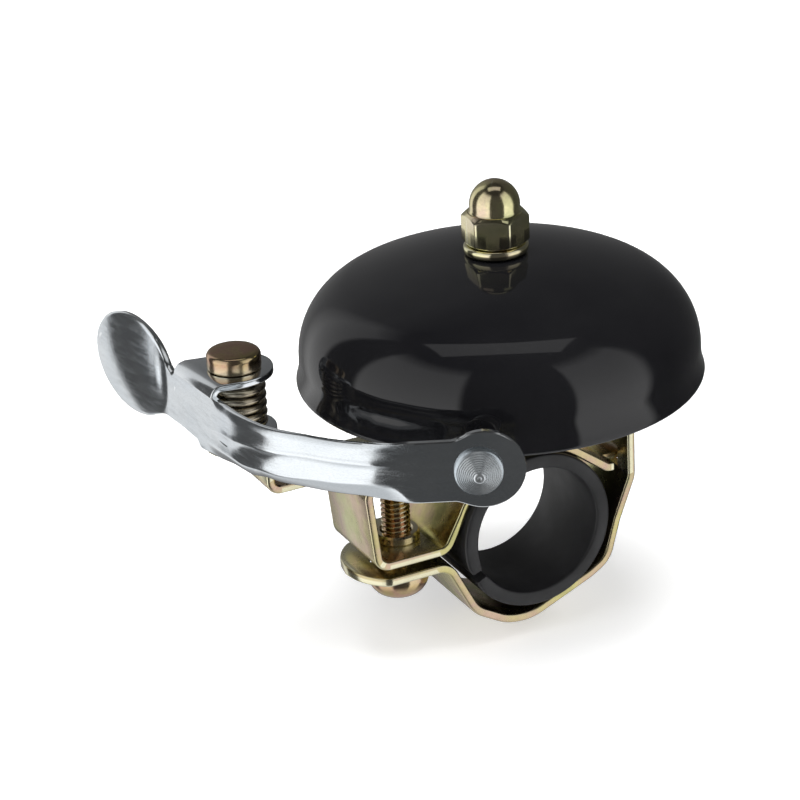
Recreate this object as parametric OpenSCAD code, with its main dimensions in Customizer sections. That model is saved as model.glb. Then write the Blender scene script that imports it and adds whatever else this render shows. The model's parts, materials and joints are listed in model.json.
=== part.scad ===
// Bicycle bell: a lever-struck bell that clamps to a handlebar.
// Origin: centre of the bar bore. +Y runs along the bar, +Z up through the dome, the lever is towards -X.

/* [Dome] */
// Radius of the dome at its rim
dome_r = 27.5; // [26:0.1:28]
// Radius of the dome's side wall above the rim
dome_wall_r = 27.0; // [25.5:0.1:27]
// Radius of the rounded shoulder
shoulder_r = 10.5; // [9:0.1:12]
// Radius of the shallow crown
crown_r = 58; // [50:1:70]
// Height of the rim over the bar's centre
rim_z = 21.2; // [20.8:0.1:21.6]
// Height of the crown's outside over the bar's centre
crown_z = 38.6; // [38:0.1:39.5]
// Thickness of the dome's sheet
dome_t = 1.2; // [0.8:0.1:1.6]
// Place of the dome's axis along X
dome_x = -1.1; // [-1.6:0.1:-0.8]

/* [Handlebar clamp] */
// Radius of the closed bar bore
bore_r = 9.15; // [9:0.05:9.3]
// Outer radius of the rubber liner
liner_r = 11.2; // [11.05:0.05:11.25]
// Length of the liner along the bar
liner_w = 15; // [14:0.1:16]
// Width of the steel strips along the bar
strip_w = 13; // [12:0.1:14]
// Thickness of the steel strips
strip_t = 1.2; // [1:0.05:1.25]
// Place of the clamp screw along X
screw_x = -17.8; // [-18:0.1:-17.7]

/* [Striker lever] */
// Direction of the hammer's stroke, turned from +Y towards +X, in degrees
strike_az = 25.8; // [20:0.2:30]
// Place of the hammer eye along X
eye_x = -19.9; // [-20.4:0.1:-19.4]
// Place of the hammer eye along Y
eye_y = -30.4; // [-31:0.1:-30]
// Height of the lever's middle plane
lever_z = 23.55; // [23.4:0.05:23.8]
// Radius of the eye
eye_r = 5.1; // [4.8:0.1:5.4]
// Height of the lever's arm
arm_h = 8.2; // [7.6:0.1:8.4]
// Thickness of the lever's sheet
sheet_t = 0.95; // [0.85:0.05:1.05]
// Length of the straight stretch beside the eye
arm_straight = 7.3; // [6.5:0.1:8]
// Radius of the arm's bend
arm_r = 28.4; // [27:0.1:30]
// Angle that the arm's bend turns through, in degrees
arm_turn = 60.8; // [56:0.2:64]
// Half height of the rounded thumb paddle
paddle_r = 7.25; // [6.5:0.05:7.8]
// Angle that the paddle is bent outwards, in degrees
paddle_turn = 9; // [6:0.5:12]

/* [Lever pivot] */
// Place of the pivot pin along X
pin_x = -37.3; // [-37.5:0.1:-37]
// Place of the pivot pin along Y
pin_y = 5.7; // [5.4:0.1:6]
// Radius of the pivot pin's shank
pin_r = 2.0; // [1.8:0.05:2.2]
// Radius of the round ear ends
ear_r = 5.1; // [4.8:0.1:5.2]
// Height of each ear's middle over or under the lever's middle plane
ear_z = 4.3; // [4.1:0.05:4.4]
// Mean radius of the return spring's coil
spring_r = 3.5; // [3.4:0.05:3.6]
// Thickness of the spring's wire
wire_d = 1.0; // [0.8:0.05:1]

/* [Hidden] */
$fn = 64;

run_gap = 0.05;                  // radial clearance of a running fit
saddle_r = liner_r + 0.05;       // inner radius of the saddle's arch
arch_r = saddle_r + strip_t / 2;
bracket_z = saddle_r + strip_t;  // underside of the lever bracket
bracket_top = bracket_z + strip_t;
stud_r = 2.5;
crown_in = crown_z - dome_t;
under_washer_t = 0.8;
top_washer_t = 1.7;
acorn_z = crown_z + top_washer_t;
acorn_hex_h = 4.2;
acorn_h = 8.5;
acorn_af = 8;
acorn_turn = 25.6;               // turns one flat towards the lever's side
nut_h = 2.6;
head_h = 2.4;
head_r = 3.6;
pivot_washer_t = 0.4;
box_floor = 0.1;                 // middle height of the saddle box's floor
ear_level = -2.4;                // middle height of the strap's ear
slot_z = 6.0;                    // height of the tongue and its slot
hook_x = 15.45;                  // middle of the strap's upright wall
spring_turns = 6;
riser_x = -34.7;                 // middle of the lever bracket's riser
step_z = 10.9;                   // middle height of the bracket's low stretch

stroke = [sin(strike_az), cos(strike_az)];
arm_dir = [-cos(strike_az), sin(strike_az)];
eye = [eye_x, eye_y];
rivet = eye + arm_dir * 0.7;     // middle of the hammer's stud in the eye
bend_c = eye + arm_dir * arm_straight + stroke * arm_r;
neck_out = 180 - strike_az + 90 - arm_turn;   // direction from the bend's centre to the neck
neck_dir = [cos(neck_out - 90), sin(neck_out - 90)];
neck_start = bend_c + arm_r * [cos(neck_out), sin(neck_out)];
neck_l = 19;                     // from the end of the arm's bend to the paddle's bend
paddle_out = 6.9;                // from the paddle's bend to its middle
paddle_long = 1.3;               // how far each rounded end of the paddle is set from its middle
paddle_up = 1.0;                 // height of the paddle's middle over the lever's middle plane
ear_span = [-1, 15];             // where the ears leave the neck, from the end of the arm's bend
ear_top = lever_z + ear_z + sheet_t / 2;
ear_under = lever_z - ear_z - sheet_t / 2;
lug_top = ear_under - 0.1 - pivot_washer_t;

function unit(v) = v / norm(v);

// Points of a fillet of radius r at corner q, between the directions to p and s.
function fillet(p, q, s, r, steps = 6) =
    let (u = unit(p - q), v = unit(s - q), half = acos(u * v) / 2,
         c = q + unit(u + v) * r / sin(half),
         a = q + u * r / tan(half) - c, b = q + v * r / tan(half) - c,
         turn = a[0] * b[1] - a[1] * b[0] > 0 ? 180 - 2 * half : 2 * half - 180,
         from = atan2(a[1], a[0]))
    [for (i = [0:steps]) c + r * [cos(from + turn * i / steps), sin(from + turn * i / steps)]];

// A path with every inner corner rounded; each point is [x, z, corner radius].
function rounded(pts) =
    [for (i = [0:len(pts) - 1])
        let (q = [pts[i][0], pts[i][1]])
        if (i == 0 || i == len(pts) - 1 || pts[i][2] == 0) q
        else each fillet([pts[i-1][0], pts[i-1][1]], q, [pts[i+1][0], pts[i+1][1]], pts[i][2])];

function side(path, i) =
    let (n = len(path), a = path[max(i - 1, 0)], b = path[i], c = path[min(i + 1, n - 1)],
         u = i == 0 ? unit(c - b) : unit(b - a), v = i == n - 1 ? u : unit(c - b),
         m = unit(u + v))
    [-m[1], m[0]] / (m * u);

module ribbon(path, t) {
    left = [for (i = [0:len(path) - 1]) path[i] + side(path, i) * t / 2];
    right = [for (i = [len(path) - 1:-1:0]) path[i] - side(path, i) * t / 2];
    polygon(concat(left, right));
}

// A 2D outline in the XZ plane, made w wide along Y.
module across(w) {
    rotate([90, 0, 0]) linear_extrude(w, center = true) children();
}

module hexagon(af, h) {
    cylinder(r = af / 2 / cos(30), h = h, $fn = 6);
}

// ---- dome and its post ----

// One surface of the dome's sheet, set in by a distance.
module dome_outline(in) {
    wall = dome_wall_r - in;
    corner = shoulder_r - in;
    crown = crown_r - in;
    crown_c = crown_z - crown_r;
    drop = sqrt(pow(crown - corner, 2) - pow(wall - corner, 2));
    shoulder_z = crown_c + drop;
    reach = (wall - corner) * crown / (crown - corner);
    polygon([[0, rim_z], [dome_r - in, rim_z], [dome_r - in, rim_z + 0.9], [wall, rim_z + 2.4],
             [wall, shoulder_z], [wall - corner, shoulder_z], [0, crown_c + drop]]);
    intersection() {
        translate([wall - corner, shoulder_z]) circle(r = corner, $fn = 96);
        translate([0, shoulder_z]) square([wall + 1, corner + 1]);
    }
    intersection() {
        translate([0, crown_c]) circle(r = crown, $fn = 180);
        polygon([[0, shoulder_z], [wall - corner, shoulder_z],
                 [reach, crown_c + drop * crown / (crown - corner)], [reach, crown_z + 1], [0, crown_z + 1]]);
    }
}

module dome() {
    color("#0c0c0e") translate([dome_x, 0, 0]) difference() {
        rotate_extrude($fn = 128) difference() {
            dome_outline(0);
            dome_outline(dome_t);
            translate([0, rim_z - 1]) square([dome_r - dome_t, 1.5]);
        }
        translate([0, 0, crown_in - 2]) cylinder(r = stud_r + 0.1, h = dome_t + 4);
        translate([0, 0, crown_z - 0.15]) cylinder(r = 4.6, h = 2);
        translate([0, 0, crown_in - 2]) cylinder(r = 5.2, h = 2);
    }
}

module cap_nut() {
    cap_r = 3.38;
    color("#a8a35c") translate([dome_x, 0, acorn_z - 0.15]) rotate([0, 0, acorn_turn]) difference() {
        union() {
            intersection() {
                hexagon(acorn_af, acorn_hex_h);
                cylinder(r1 = acorn_af * 0.54, r2 = acorn_af * 0.54 + acorn_hex_h * 1.5, h = acorn_hex_h);
                cylinder(r1 = acorn_af * 0.46 + acorn_hex_h * 1.5, r2 = acorn_af * 0.46, h = acorn_hex_h);
            }
            cylinder(r = cap_r, h = acorn_h - cap_r);
            translate([0, 0, acorn_h - cap_r]) sphere(r = cap_r);
        }
        translate([0, 0, -1]) cylinder(r = stud_r, h = acorn_h - 2);
    }
}

module top_washer() {
    in_r = stud_r + 0.1;
    out_r = 4.4;
    color("#9c8f4e") translate([dome_x, 0, crown_z - 0.15]) rotate_extrude() {
        translate([in_r, 0]) square([out_r - top_washer_t / 2 - in_r, top_washer_t]);
        translate([out_r - top_washer_t / 2, top_washer_t / 2]) circle(r = top_washer_t / 2);
    }
}

module ring(r_in, r_out, h) {
    difference() {
        cylinder(r = r_out, h = h);
        translate([0, 0, -1]) cylinder(r = r_in, h = h + 2);
    }
}

module under_washer() {
    color("#2c2a28") translate([dome_x, 0, crown_in - under_washer_t]) ring(stud_r, 5, under_washer_t);
}

module dome_post() {
    foot = bracket_top + nut_h;
    color("#b9a75c") translate([dome_x, 0, foot]) ring(stud_r, 4, crown_in - under_washer_t - foot);
}

module dome_stud() {
    color("#8e8a78") translate([dome_x, 0, saddle_r]) {
        cylinder(r = stud_r, h = acorn_z + 5.2 - saddle_r);
    }
}

module stud_nut() {
    color("#a8a35c") translate([dome_x, 0, bracket_top]) difference() {
        hexagon(8, nut_h);
        translate([0, 0, -1]) cylinder(r = stud_r, h = nut_h + 2);
    }
}

// ---- bracket and clamp ----

bracket_path = rounded([[dome_x + 5, bracket_z + strip_t / 2, 0], [-27.5, bracket_z + strip_t / 2, 1.4],
                        [-29.6, step_z, 1.4], [riser_x, step_z, 1.4], [riser_x, lug_top - strip_t / 2, 1.1],
                        [pin_x - ear_r, lug_top - strip_t / 2, 0]]);

// Strip from the post to the pivot: it steps down past the dome's rim and rises to a round lug.
module lever_bracket() {
    lug_r = 4.5;
    end_r = 4.6;
    half = strip_w / 2;
    riser_half = 3.5;
    riser_y = pin_y - 0.1;
    color("#b3a45a") difference() {
        intersection() {
            across(40) ribbon(bracket_path, strip_t);
            translate([0, 0, -1]) linear_extrude(40) {
                translate([dome_x, 0]) circle(r = end_r);
                polygon([[dome_x, -end_r], [dome_x, end_r], [dome_x - 4, half], [-27.5, half + 1],
                         [-30, riser_y + riser_half],
                         [pin_x, riser_y + riser_half], [pin_x, riser_y - riser_half],
                         [-30, riser_y - riser_half], [-26.5, -half], [dome_x - 4, -half]]);
                translate([pin_x, pin_y]) circle(r = lug_r);
            }
        }
        translate([dome_x, 0, bracket_z - 1]) cylinder(r = stud_r, h = strip_t + 2);
        at_pin(lug_top - 3) cylinder(r = pin_r, h = 4);
    }
}

saddle_path = concat(
    rounded([[-21.5, bracket_z - strip_t / 2, 0], [-24.7, bracket_z - strip_t / 2, 1.3],
             [-23.5, box_floor, 1.8], [-13.4, box_floor, 2],
             arch_r * [cos(157), sin(157)]]),
    [for (a = [152:-5:57]) arch_r * [cos(a), sin(a)]],
    rounded([arch_r * [cos(53), sin(53)], [11.8, slot_z, 1.5], [17.3, slot_z, 0.9], [17.3, slot_z - 2, 0]]));

module clamp_saddle() {
    tongue_w = 6.6;
    edge_w = strip_w / 2;
    color("#b3a45a") difference() {
        across(strip_w) ribbon(saddle_path, strip_t);
        for (s = [-1, 1]) translate([12.6, s > 0 ? tongue_w / 2 : -edge_w - 1, 0]) cube([10, edge_w, 12]);
        translate([dome_x, 0, 9]) cylinder(r = stud_r, h = 6);
        translate([screw_x, 0, -3]) cylinder(r = 2.6, h = 6);
    }
}

strap_path = rounded([[hook_x, 10.6, 0], [hook_x, 3.8, 3], [13.0, -2.2, 7], [11.4, -7.8, 3.8],
                      [8.7, -9.45, 9], [-0.8, -13.3, 7], [-4.5, -13.0, 7], [-9.3, -10.2, 4.5],
                      [-13.2, ear_level, 2.6], [-26.5, ear_level, 0]]);

module clamp_strap() {
    ear_end = 7.8;
    slot_l = 2.1;
    color("#b3a45a") difference() {
        intersection() {
            across(strip_w) ribbon(strap_path, strip_t);
            union() {
                translate([screw_x, 0, -20]) cylinder(r = ear_end, h = 40);
                translate([screw_x, -20, -20]) cube([60, 40, 40]);
            }
        }
        translate([hook_x - 2, -3.7, slot_z - 1.5]) cube([4, 7.4, 3]);
        for (x = [0, -slot_l]) translate([screw_x + x, 0, -8]) cylinder(r = 2.25, h = 10);
        translate([screw_x - slot_l, -2.25, -8]) cube([slot_l, 4.5, 10]);
    }
}

module clamp_liner() {
    split = 206;
    color("#26272a") difference() {
        rotate([90, 0, 0]) cylinder(r = liner_r, h = liner_w, center = true, $fn = 128);
        rotate([90, 0, 0]) cylinder(r = bore_r, h = liner_w + 2, center = true, $fn = 128);
        rotate([0, -split, 0]) translate([bore_r - 1, -liner_w, -0.7]) cube([5, 2 * liner_w, 1.4]);
    }
}

module clamp_screw() {
    head_z = ear_level - strip_t / 2 - 0.06;
    tip = 9.5;
    rim_h = 3.3;
    round_r = 1.4;
    color("#a98f58") translate([screw_x, 0, 0]) {
        translate([0, 0, head_z]) cylinder(r = 2, h = tip - head_z);
        difference() {
            rotate_extrude() {
                translate([0, head_z - rim_h]) square([4.2, rim_h - 1.2]);
                polygon([[0, head_z], [3.4, head_z], [4.2, head_z - 1.2], [0, head_z - 1.2]]);
                translate([0, head_z - rim_h - round_r]) square([4.2 - round_r, round_r]);
                translate([4.2 - round_r, head_z - rim_h]) circle(r = round_r);
            }
            translate([-5, -0.5, head_z - 6]) cube([10, 1, 2.6]);
        }
    }
}

module clamp_nut() {
    floor_top = box_floor + strip_t / 2;
    color("#a8a35c") translate([screw_x, 0, 0]) difference() {
        union() {
            translate([0, 0, floor_top]) cylinder(r = 3.2, h = 1.3);
            translate([0, 0, floor_top - strip_t]) cylinder(r = 2.6, h = strip_t);
        }
        translate([0, 0, -3]) cylinder(r = 2 + run_gap, h = 8);
    }
}

// ---- pivot ----

module at_pin(z) {
    translate([pin_x, pin_y, z]) children();
}

module pivot_pin() {
    under = lug_top - strip_t;
    rivet_h = 0.4;
    top = ear_top + 0.1;
    color("#b08a4c") at_pin(0) {
        translate([0, 0, under - rivet_h]) cylinder(r1 = pin_r - rivet_h, r2 = pin_r, h = rivet_h);
        translate([0, 0, under]) cylinder(r = pin_r, h = top - under);
        translate([0, 0, top]) cylinder(r = head_r, h = head_h - 0.6);
        translate([0, 0, top + head_h - 0.6]) cylinder(r1 = head_r, r2 = head_r - 0.6, h = 0.6);
    }
}

module pivot_washer() {
    color("#8e8a78") at_pin(lug_top) ring(pin_r, 3.8, pivot_washer_t);
}

module pivot_bush() {
    low = ear_under + sheet_t + 0.1;
    color("#8e8a78") at_pin(low) ring(pin_r, 2.7, 2 * ear_z - sheet_t - 0.2);
}

// Coils of the return spring as stacked rings, with one leg on the lever's web and one on the ear.
module torsion_spring() {
    low = ear_under + sheet_t + 0.6 + wire_d / 2;
    color("#5b5043") at_pin(low) {
        for (i = [0:spring_turns - 1]) translate([0, 0, i * (wire_d - 0.02)])
            rotate_extrude() translate([spring_r, 0]) circle(d = wire_d, $fn = 24);
        translate([-spring_r, 0, (spring_turns - 1) * (wire_d - 0.02)])
            rotate([-90, 0, 0]) cylinder(d = wire_d * 0.9, h = 6.5, $fn = 24);
        translate([spring_r, 0, 0]) rotate([-90, 0, 0]) cylinder(d = wire_d * 0.9, h = 3, $fn = 24);
    }
}

// ---- lever and hammer ----

module web(h) {
    translate([arm_r - sheet_t, -h / 2]) square([sheet_t, h]);
}

module striker_lever() {
    web_h = 2 * ear_z + sheet_t;
    color("#c9d3dc") difference() {
        union() {
            translate([eye_x, eye_y, lever_z]) rotate([0, 0, -strike_az]) {
                rotate([-90, 0, 0]) cylinder(r = eye_r, h = sheet_t);
                translate([-arm_straight - 0.3, 0, -arm_h / 2]) cube([arm_straight + 0.3, sheet_t, arm_h]);
            }
            translate([bend_c[0], bend_c[1], lever_z]) rotate([0, 0, neck_out])
                rotate_extrude(angle = arm_turn, $fn = 180) web(arm_h);
            translate([neck_start[0], neck_start[1], lever_z]) rotate([0, 0, neck_out - 90]) {
                translate([-0.3, -sheet_t, -arm_h / 2]) cube([neck_l + 0.5, sheet_t, arm_h]);
                translate([ear_span[0], -sheet_t, -web_h / 2])
                    cube([ear_span[1] - ear_span[0], sheet_t, web_h]);
                translate([neck_l, 0, 0]) rotate([0, 0, paddle_turn]) translate([paddle_out, 0, paddle_up])
                    rotate([90, 0, 0]) {
                        for (s = [-1, 1]) translate([s * paddle_long, 0, 0])
                            cylinder(r = paddle_r, h = sheet_t, $fn = 96);
                        translate([-paddle_long, -paddle_r, 0]) cube([2 * paddle_long, 2 * paddle_r, sheet_t]);
                    }
            }
            for (s = [-1, 1]) translate([0, 0, lever_z + s * ear_z - sheet_t / 2]) {
                at_pin(0) cylinder(r = ear_r, h = sheet_t);
                linear_extrude(sheet_t) polygon([[neck_start[0] + 0.3, pin_y - ear_r + 0.6],
                    [pin_x, pin_y - ear_r], [pin_x, pin_y + ear_r], [neck_start[0] - 0.4, pin_y + ear_r - 0.4]]);
            }
        }
        at_pin(0) cylinder(r = pin_r + run_gap, h = 60);
        translate([rivet[0], rivet[1], lever_z]) rotate([-90, 0, -strike_az]) translate([0, 0, -2])
            cylinder(r = 1.5, h = 6);
    }
}

module hammer() {
    body_l = 6.0;
    color("#cfd6dc") translate([rivet[0], rivet[1], lever_z]) rotate([0, 0, -strike_az]) rotate([-90, 0, 0])
        rotate_extrude() polygon([[0, -2.4], [0.5, -2.4], [2.85, -0.9], [3.05, -0.6], [3.05, 0], [1.5, 0],
            [1.5, sheet_t + 0.7], [2.5, sheet_t + 0.7], [2.5, sheet_t + body_l - 0.5],
            [2.0, sheet_t + body_l], [0, sheet_t + body_l]]);
}

module hammer_collar() {
    color("#b9c0c6") translate([rivet[0], rivet[1], lever_z]) rotate([0, 0, -strike_az]) rotate([-90, 0, 0])
        translate([0, 0, sheet_t]) ring(1.5, 3.0, 0.7);
}

dome();
cap_nut();
top_washer();
under_washer();
dome_post();
dome_stud();
stud_nut();
lever_bracket();
clamp_saddle();
clamp_strap();
clamp_liner();
clamp_screw();
clamp_nut();
pivot_pin();
pivot_washer();
pivot_bush();
torsion_spring();
striker_lever();
hammer();
hammer_collar();
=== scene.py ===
import bpy
import bmesh
import json
import math
from mathutils import Vector, Matrix


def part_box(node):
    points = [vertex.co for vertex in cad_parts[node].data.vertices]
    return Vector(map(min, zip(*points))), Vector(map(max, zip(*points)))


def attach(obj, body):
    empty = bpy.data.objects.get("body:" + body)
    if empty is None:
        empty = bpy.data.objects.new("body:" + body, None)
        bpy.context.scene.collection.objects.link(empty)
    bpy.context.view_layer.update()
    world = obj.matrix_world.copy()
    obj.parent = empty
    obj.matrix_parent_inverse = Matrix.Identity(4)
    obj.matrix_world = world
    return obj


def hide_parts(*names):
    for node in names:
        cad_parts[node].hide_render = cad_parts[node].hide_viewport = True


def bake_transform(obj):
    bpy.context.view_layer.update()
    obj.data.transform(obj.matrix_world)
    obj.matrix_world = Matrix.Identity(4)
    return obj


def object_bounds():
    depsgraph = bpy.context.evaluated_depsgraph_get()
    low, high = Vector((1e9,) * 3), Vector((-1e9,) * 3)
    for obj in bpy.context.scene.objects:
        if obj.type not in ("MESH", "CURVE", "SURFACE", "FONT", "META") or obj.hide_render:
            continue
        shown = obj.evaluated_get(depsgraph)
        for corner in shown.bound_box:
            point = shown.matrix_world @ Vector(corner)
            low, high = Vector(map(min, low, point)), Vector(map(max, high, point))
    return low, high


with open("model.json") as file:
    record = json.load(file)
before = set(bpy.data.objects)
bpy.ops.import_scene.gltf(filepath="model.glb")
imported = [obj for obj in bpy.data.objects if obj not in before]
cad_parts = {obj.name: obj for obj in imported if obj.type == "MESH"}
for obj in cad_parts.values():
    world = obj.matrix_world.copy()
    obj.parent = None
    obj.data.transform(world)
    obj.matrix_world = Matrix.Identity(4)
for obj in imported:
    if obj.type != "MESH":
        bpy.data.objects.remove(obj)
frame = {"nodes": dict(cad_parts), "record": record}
CAD_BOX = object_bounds()
MM = 0.001


def rad(a):
    return math.radians(a)


def mid(node):
    lo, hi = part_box(node)
    return [(a + b) / 2 / MM for a, b in zip(lo, hi)], [a / MM for a in lo], [b / MM for b in hi]


# ---- materials ----

def nodes_of(name):
    m = bpy.data.materials.new(name)
    m.use_nodes = True
    nt = m.node_tree
    return m, nt, nt.nodes["Principled BSDF"]


def noise_tex(nt, scale, detail=3, stretch=(1, 1, 1), rough=0.5):
    tc = nt.nodes.new("ShaderNodeTexCoord")
    mp = nt.nodes.new("ShaderNodeMapping")
    mp.inputs["Scale"].default_value = stretch
    n = nt.nodes.new("ShaderNodeTexNoise")
    n.inputs["Scale"].default_value = scale
    n.inputs["Detail"].default_value = detail
    n.inputs["Roughness"].default_value = rough
    nt.links.new(tc.outputs["Object"], mp.inputs["Vector"])
    nt.links.new(mp.outputs["Vector"], n.inputs["Vector"])
    return n.outputs["Fac"]


def ramp(nt, fac, stops):
    r = nt.nodes.new("ShaderNodeValToRGB")
    e = r.color_ramp.elements
    while len(e) < len(stops):
        e.new(0.5)
    for el, (p, c) in zip(e, stops):
        el.position = p
        el.color = (c, c, c, 1) if isinstance(c, (int, float)) else (*c, 1)
    nt.links.new(fac, r.inputs["Fac"])
    return r.outputs["Color"]


def mix(nt, fac, a, b, kind="MIX"):
    m = nt.nodes.new("ShaderNodeMix")
    m.data_type = "RGBA"
    m.blend_type = kind
    for i, v in ((0, fac), (6, a), (7, b)):
        if hasattr(v, "links"):
            nt.links.new(v, m.inputs[i])
        elif i == 0:
            m.inputs[i].default_value = v
        else:
            m.inputs[i].default_value = (*v, 1)
    return m.outputs[2]


def bump(nt, bsdf, layers):
    last = None
    for fac, strength, dist in layers:
        b = nt.nodes.new("ShaderNodeBump")
        b.inputs["Strength"].default_value = strength
        b.inputs["Distance"].default_value = dist * MM
        nt.links.new(fac, b.inputs["Height"])
        if last:
            nt.links.new(last, b.inputs["Normal"])
        last = b.outputs["Normal"]
    nt.links.new(last, bsdf.inputs["Normal"])


def metal(name, tones, low, high, tone_scale, grain=(1, 1, 1), scratch=0.35, pits=0.25, edge_highlight=None):
    m, nt, b = nodes_of(name)
    b.inputs["Metallic"].default_value = 1.0
    broad = noise_tex(nt, tone_scale, 4)
    col = ramp(nt, broad, [(0.30 + 0.40 * i / (len(tones) - 1), t) for i, t in enumerate(tones)])
    fine = noise_tex(nt, 2600, 2, grain)
    col = mix(nt, 0.18, col, ramp(nt, fine, [(0.35, 0.55), (0.6, 1.0)]), "MULTIPLY")
    # painted highlight: convex edges (Pointiness) are mixed towards a lighter colour, standing in for rim highlights
    if edge_highlight:
        g = nt.nodes.new("ShaderNodeNewGeometry")
        edge = ramp(nt, g.outputs["Pointiness"], [(0.515, 0.0), (0.56, 1.0)])
        col = mix(nt, edge, col, edge_highlight)
    nt.links.new(col, b.inputs["Base Color"])
    smear = noise_tex(nt, 260, 5, grain, 0.65)
    nt.links.new(ramp(nt, smear, [(0.35, low), (0.68, high)]), b.inputs["Roughness"])
    lines = noise_tex(nt, 900, 3, tuple(g * 0.22 if i == 0 else g for i, g in enumerate(grain)), 0.7)
    dents = noise_tex(nt, 1500, 2)
    bump(nt, b, [(lines, scratch, 0.02), (dents, pits, 0.02)])
    return m


MAT = {
    # partly painted light: the nut's own pale yellow zinc, with its tones raised lighter than the other yellow zinc
    # to stand in for overhead highlights (also used on the split washer)
    "yellow_zinc_nut": metal("yellow_zinc_nut", [(0.58, 0.60, 0.30), (0.84, 0.78, 0.44), (0.74, 0.58, 0.44)],
                             0.10, 0.22, 170, edge_highlight=(0.86, 0.82, 0.60)),
    "yellow_zinc_strip": metal("yellow_zinc_strip", [(0.34, 0.33, 0.09), (0.56, 0.50, 0.17), (0.54, 0.34, 0.27),
                                                     (0.46, 0.47, 0.17)], 0.16, 0.34, 110,
                               edge_highlight=(0.78, 0.74, 0.52)),
    "yellow_zinc_screw": metal("yellow_zinc_screw", [(0.46, 0.40, 0.15), (0.56, 0.35, 0.25), (0.58, 0.50, 0.21)],
                               0.12, 0.26, 200, edge_highlight=(0.84, 0.74, 0.52)),
    "bright_zinc": metal("bright_zinc", [(0.70, 0.75, 0.79), (0.80, 0.84, 0.87), (0.74, 0.79, 0.84)],
                         0.09, 0.22, 90, (1, 1, 6), 0.22, 0.20, edge_highlight=(0.92, 0.95, 0.97)),
    "bright_zinc_turned": metal("bright_zinc_turned", [(0.72, 0.78, 0.82), (0.84, 0.87, 0.89)], 0.26, 0.42, 200),
    "spring_steel": metal("spring_steel", [(0.36, 0.32, 0.24), (0.52, 0.46, 0.35), (0.44, 0.40, 0.33)],
                          0.16, 0.32, 240),
    "plain_steel": metal("plain_steel", [(0.44, 0.43, 0.40), (0.60, 0.59, 0.55)], 0.25, 0.42, 160),
}


def enamel():
    m, nt, b = nodes_of("black_enamel")
    broad = noise_tex(nt, 60, 3)
    nt.links.new(ramp(nt, broad, [(0.3, (0.004, 0.004, 0.005)), (0.7, (0.008, 0.008, 0.009))]),
                 b.inputs["Base Color"])
    haze = noise_tex(nt, 180, 6, (1, 1, 1), 0.7)
    nt.links.new(ramp(nt, haze, [(0.4, 0.035), (0.75, 0.10)]), b.inputs["Roughness"])
    b.inputs["IOR"].default_value = 1.5
    peel = noise_tex(nt, 420, 2)
    dust = noise_tex(nt, 3800, 2)
    bump(nt, b, [(peel, 0.05, 0.02), (ramp(nt, dust, [(0.70, 0.0), (0.78, 1.0)]), 0.12, 0.01)])
    return m


def matte(name, dark, light, rough, grain, depth):
    m, nt, b = nodes_of(name)
    nt.links.new(ramp(nt, noise_tex(nt, 320, 5), [(0.3, dark), (0.7, light)]), b.inputs["Base Color"])
    nt.links.new(ramp(nt, noise_tex(nt, 140, 4), [(0.3, rough - 0.07), (0.7, rough + 0.1)]),
                 b.inputs["Roughness"])
    bump(nt, b, [(noise_tex(nt, grain, 3), 0.35, depth), (noise_tex(nt, 240, 3), 0.2, depth * 2)])
    return m


MAT["black_enamel"] = enamel()
MAT["rubber"] = matte("rubber", (0.010, 0.010, 0.011), (0.018, 0.018, 0.020), 0.46, 2200, 0.02)
MAT["fibre"] = matte("fibre", (0.02, 0.018, 0.015), (0.05, 0.043, 0.035), 0.8, 1400, 0.03)


# ---- mesh making ----

def make(name, verts, faces, slot, body, nodes=(), smooth=38, ready=True):
    me = bpy.data.meshes.new(name)
    me.from_pydata([[c * MM for c in v] for v in verts], [], faces)
    bm = bmesh.new()
    bm.from_mesh(me)
    bmesh.ops.remove_doubles(bm, verts=bm.verts, dist=2e-6)
    bmesh.ops.recalc_face_normals(bm, faces=bm.faces)
    bm.to_mesh(me)
    bm.free()
    me.materials.append(MAT[slot])
    ob = bpy.data.objects.new(name, me)
    bpy.context.scene.collection.objects.link(ob)
    if ready:
        finish_piece(ob, body, nodes, smooth)
    return ob


def finish_piece(ob, body, nodes, smooth=38):
    ob.data.shade_smooth()
    ob.data.set_sharp_from_angle(angle=rad(smooth))
    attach(ob, body)
    if nodes:
        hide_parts(*nodes)


def revolve(profile, n=96, closed=True):
    verts, rows, faces = [], [], []
    for r, z in profile:
        if r < 1e-6:
            rows.append([len(verts)])
            verts.append((0, 0, z))
        else:
            rows.append(list(range(len(verts), len(verts) + n)))
            verts += [(r * math.cos(2 * math.pi * i / n), r * math.sin(2 * math.pi * i / n), z) for i in range(n)]
    pairs = list(zip(rows, rows[1:]))
    if closed and not (len(rows[0]) == 1 and len(rows[-1]) == 1):
        pairs.append((rows[-1], rows[0]))
    for a, b in pairs:
        if len(a) == 1 and len(b) == 1:
            continue
        for i in range(n):
            j = (i + 1) % n
            q = [a[0] if len(a) == 1 else a[i], a[0] if len(a) == 1 else a[j],
                 b[0] if len(b) == 1 else b[j], b[0] if len(b) == 1 else b[i]]
            faces.append(list(dict.fromkeys(q)))
    return verts, faces


def moved(verts, origin, z_dir=(0, 0, 1), turn=0):
    q = Vector(z_dir).to_track_quat("Z", "Y").to_matrix() @ Matrix.Rotation(turn, 3, "Z")
    o = Vector(origin)
    return [tuple(q @ Vector(v) + o) for v in verts]


def loft(rings, closed=False):
    n = len(rings[0])
    verts = [v for r in rings for v in r]
    faces = []
    m = len(rings)
    for k in range(m if closed else m - 1):
        a, b = k * n, ((k + 1) % m) * n
        for i in range(n):
            j = (i + 1) % n
            faces.append([a + i, a + j, b + j, b + i])
    if not closed:
        faces += [list(range(n - 1, -1, -1)), list(range((m - 1) * n, m * n))]
    return verts, faces


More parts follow.
